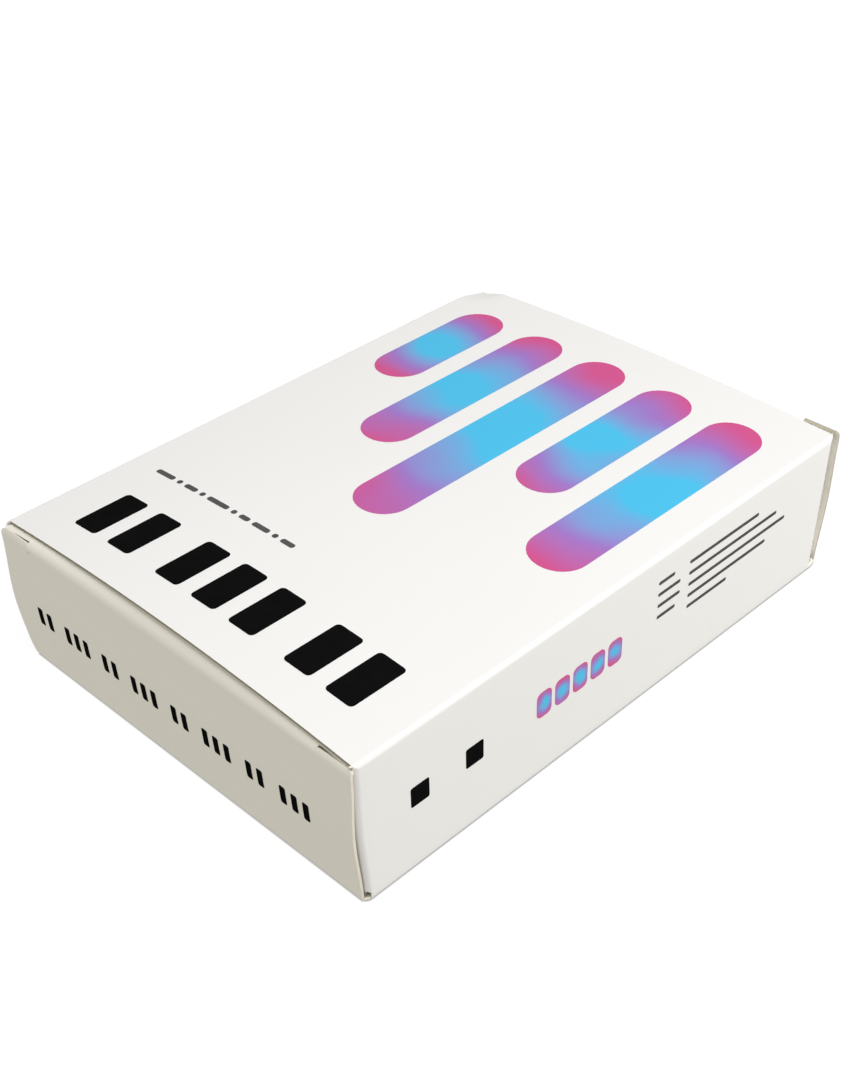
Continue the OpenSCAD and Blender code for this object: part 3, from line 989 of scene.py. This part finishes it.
# Leaflet. One sheet of thin paper in four layers, folded to and fro and laid
# on the insert's deck beside the kazoo, with a little spring in its folds.
paper_white = (0.86, 0.86, 0.85)
paper_shade = (0.83, 0.83, 0.82)
leaflet_paper = finish(
    "leaflet_paper", paper_white, paper_shade, patch=0.02, rough=0.7,
    grain=0.0006, grain_depth=0.00001)
leaflet_low, leaflet_high = [Vector(point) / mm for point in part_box("leaflet")]
leaflet_layers = 4
paper_t = 0.12
fold_nudge = 0.001
sheet_margin = 0.01
leaflet_pitch = (leaflet_high.z - leaflet_low.z - paper_t) / (leaflet_layers - 1)
leaflet_fold_r = leaflet_pitch / 2
leaflet_flat = leaflet_high.x - leaflet_low.x - 2 * leaflet_fold_r - paper_t
leaflet_period = leaflet_flat + math.pi * leaflet_fold_r
leaflet_run = leaflet_layers * leaflet_flat + (leaflet_layers - 1) * math.pi * leaflet_fold_r


def leaflet_shape(run, y, under):
    """The fold of the leaflet, run mm along the flat sheet."""
    layer = min(int(run / leaflet_period), leaflet_layers - 1)
    along = run - layer * leaflet_period
    side = 1 if layer % 2 == 0 else -1
    middle_x = (leaflet_low.x + leaflet_high.x) / 2
    middle_z = leaflet_low.z + paper_t / 2 + layer * leaflet_pitch
    lift = (under + paper_t / 2) * side
    if along <= leaflet_flat:
        return middle_x + side * (along - leaflet_flat / 2), y, middle_z + lift
    angle = (along - leaflet_flat) / leaflet_fold_r
    reach = leaflet_fold_r - lift * side
    x = middle_x + side * (leaflet_flat / 2 + reach * math.sin(angle))
    return x, y, middle_z + leaflet_fold_r - reach * math.cos(angle)


leaflet_cuts = []
for layer in range(leaflet_layers):
    fold_start = layer * leaflet_period + leaflet_flat
    leaflet_cuts += [fold_start - leaflet_flat + fold_nudge, fold_start]
    leaflet_cuts += steps(fold_start, fold_start + math.pi * leaflet_fold_r, 8)
leaflet_cuts = [cut for cut in leaflet_cuts if sheet_margin < cut < leaflet_run - sheet_margin]
leaflet_outline = [(0, leaflet_low.y), (leaflet_run, leaflet_low.y)]
leaflet_outline += [(leaflet_run, leaflet_high.y), (0, leaflet_high.y)]
leaflet = piece(
    card(leaflet_outline, paper_t, leaflet_cuts),
    "folded_leaflet", [leaflet_paper] * 3, "carton", leaflet_shape)
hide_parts("leaflet")

# Contents. The card insert, the spare membranes, and the kazoo with its screw
# cap, gasket and membrane keep their solid forms. The kazoo's shells and its
# turret have a lacquer that fades as the print does.
insert_white = (0.80, 0.785, 0.75)
insert_shade = (0.76, 0.745, 0.70)
film_clear = (0.82, 0.80, 0.72)
film_shade = (0.78, 0.76, 0.66)
rubber_black = (0.03, 0.03, 0.03)
rubber_shade = (0.05, 0.05, 0.05)
metal_bright = (0.80, 0.80, 0.81)
metal_shade = (0.70, 0.70, 0.72)
kazoo_middle = (0, 0, 12)
kazoo_length = 110
lacquer_softness = 40
lacquer_coat = 0.6
insert_card = finish(
    "insert_card", insert_white, insert_shade, patch=0.006, rough=0.8,
    grain=0.0005, grain_depth=0.00002)
film = finish(
    "membrane_film", film_clear, film_shade, patch=0.003, rough=0.3,
    grain=0.0008, grain_depth=0.000004)
rubber = finish(
    "gasket_rubber", rubber_black, rubber_shade, patch=0.002, rough=0.6,
    grain=0.0004, grain_depth=0.00001)
bright = finish(
    "bright_metal", metal_bright, metal_shade, patch=0.006, rough=0.25,
    grain=0.0006, grain_depth=0.000003, Metallic=1)
lacquer = fading_ink("kazoo_lacquer", kazoo_middle, kazoo_length, lacquer_softness)
lacquer.node_tree.nodes["Principled BSDF"].inputs["Coat Weight"].default_value = lacquer_coat
node_finish = {
    "insert_deck": insert_card,
    "insert_left_leg": insert_card,
    "insert_right_leg": insert_card,
    "spare_membranes": film,
    "kazoo_membrane": film,
    "kazoo_gasket": rubber,
    "kazoo_screw_cap": bright,
    "kazoo_upper_shell": lacquer,
    "kazoo_lower_shell": lacquer,
    "kazoo_turret": lacquer,
}
for name, material in node_finish.items():
    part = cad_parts[name]
    part.data.materials.clear()
    part.data.materials.append(material)
